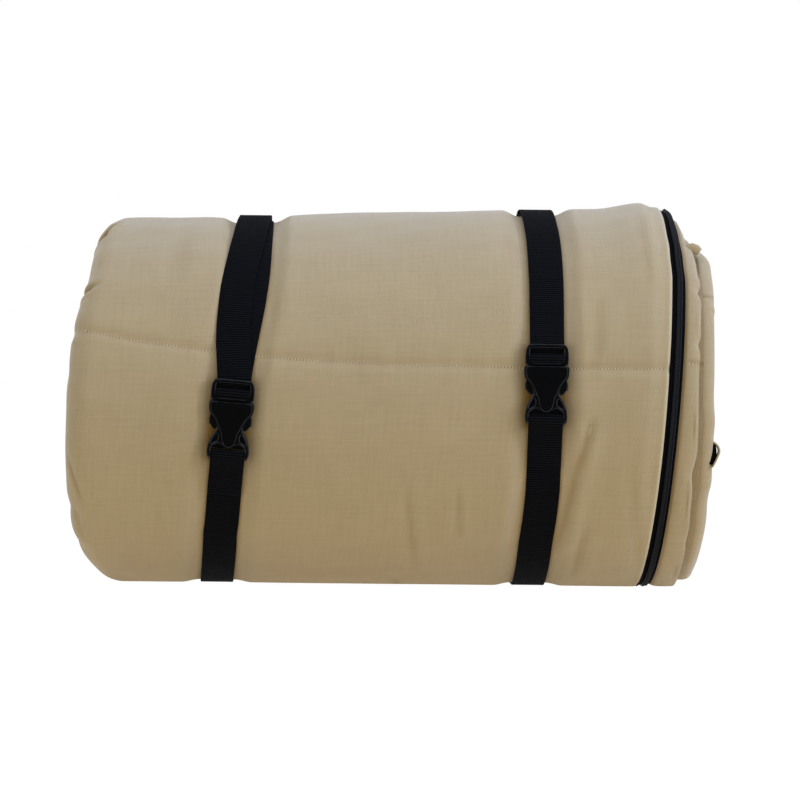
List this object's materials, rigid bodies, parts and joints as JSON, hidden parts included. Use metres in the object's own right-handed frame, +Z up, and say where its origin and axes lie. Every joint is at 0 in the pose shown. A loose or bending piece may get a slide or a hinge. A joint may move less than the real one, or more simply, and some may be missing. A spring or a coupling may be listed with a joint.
{
  "type": "sleeping bag",
  "caption": "Rectangular canvas sleeping bag, folded lengthwise, rolled and held by webbing straps with side-release buckles.",
  "frame": {"origin": "middle of the flat foot that the roll lies on", "axes": "+X along the roll, from the folded end to the zipped end; +Y to the back; +Z up"},
  "size_m": [0.4807, 0.3003, 0.2882],
  "materials": {
    "canvas": "tan woven cotton canvas",
    "wadding": "white hollow-fibre wadding",
    "lining": "soft cotton lining",
    "webbing": "black woven webbing",
    "buckle_plastic": "black moulded acetal, satin",
    "zip_tape": "black zip tape",
    "zip_coil": "black nylon coil",
    "zip_metal": "black enamelled zinc"
  },
  "bodies": {
    "roll": {"bottom_shell": "canvas", "top_shell": "canvas", "bottom_insulation": "wadding", "top_insulation": "wadding", "liner": "lining", "zip_tape_bottom": "zip_tape", "zip_tape_top": "zip_tape", "zip_coil": "zip_coil", "side_loop": "canvas", "left_strap": "webbing", "left_strap_tail": "webbing", "left_buckle_female": "buckle_plastic", "right_strap": "webbing", "right_strap_tail": "webbing", "right_buckle_female": "buckle_plastic"},
    "left_male": {"left_buckle_male": "buckle_plastic", "left_strap_wrap": "webbing"},
    "left_prong_a": {"left_prong_a": "buckle_plastic"},
    "left_prong_b": {"left_prong_b": "buckle_plastic"},
    "right_male": {"right_buckle_male": "buckle_plastic", "right_strap_wrap": "webbing"},
    "right_prong_a": {"right_prong_a": "buckle_plastic"},
    "right_prong_b": {"right_prong_b": "buckle_plastic"},
    "slider": {"zip_slider": "zip_metal"},
    "pull": {"zip_pull": "zip_metal"}
  },
  "joints": [
    {"name": "left_buckle_release", "type": "slide", "parent": "roll", "child": "left_male", "axis": [0.0802, -0.1146, 0.9902], "range_m": [0, 0.028], "deforming": ["left_prong_a", "left_prong_b", "left_strap_wrap"]},
    {"name": "left_prong_a_squeeze", "type": "hinge", "parent": "left_male", "child": "left_prong_a", "pos_m": [-0.10379, -0.1415, 0.12899], "axis": [0, 0.9934, 0.1149], "range_deg": [0, 6.5], "stiffness_Nm_per_rad": 0.05},
    {"name": "left_prong_b_squeeze", "type": "hinge", "parent": "left_male", "child": "left_prong_b", "pos_m": [-0.12572, -0.14171, 0.13075], "axis": [0, -0.9934, -0.1149], "range_deg": [0, 6.5], "stiffness_Nm_per_rad": 0.05},
    {"name": "right_buckle_release", "type": "slide", "parent": "roll", "child": "right_male", "axis": [0.0122, 0.0663, 0.9977], "range_m": [0, 0.028], "deforming": ["right_prong_a", "right_prong_b", "right_strap_wrap"]},
    {"name": "right_prong_a_squeeze", "type": "hinge", "parent": "right_male", "child": "right_prong_a", "pos_m": [0.125, -0.1449, 0.15976], "axis": [0, 0.9978, -0.0663], "range_deg": [0, 6.5], "stiffness_Nm_per_rad": 0.05},
    {"name": "right_prong_b_squeeze", "type": "hinge", "parent": "right_male", "child": "right_prong_b", "pos_m": [0.103, -0.14489, 0.16002], "axis": [0, -0.9978, 0.0663], "range_deg": [0, 6.5], "stiffness_Nm_per_rad": 0.05},
    {"name": "zip_slider_travel", "type": "hinge", "parent": "roll", "child": "slider", "pos_m": [0.203, -0.00081, 0.14379], "axis": [0.9974, 0.0279, -0.0665], "range_deg": [0, 45], "deforming": ["zip_coil"]},
    {"name": "zip_pull_swing", "type": "hinge", "parent": "slider", "child": "pull", "pos_m": [0.20596, 0.13712, 0.19895], "axis": [0.8664, -0.4363, -0.2429], "range_deg": [0, 120]}
  ],
  "couplings": [
    {"joint": "left_prong_b_squeeze", "follows": "left_prong_a_squeeze", "ratio": 1},
    {"joint": "right_prong_b_squeeze", "follows": "right_prong_a_squeeze", "ratio": 1}
  ]
}
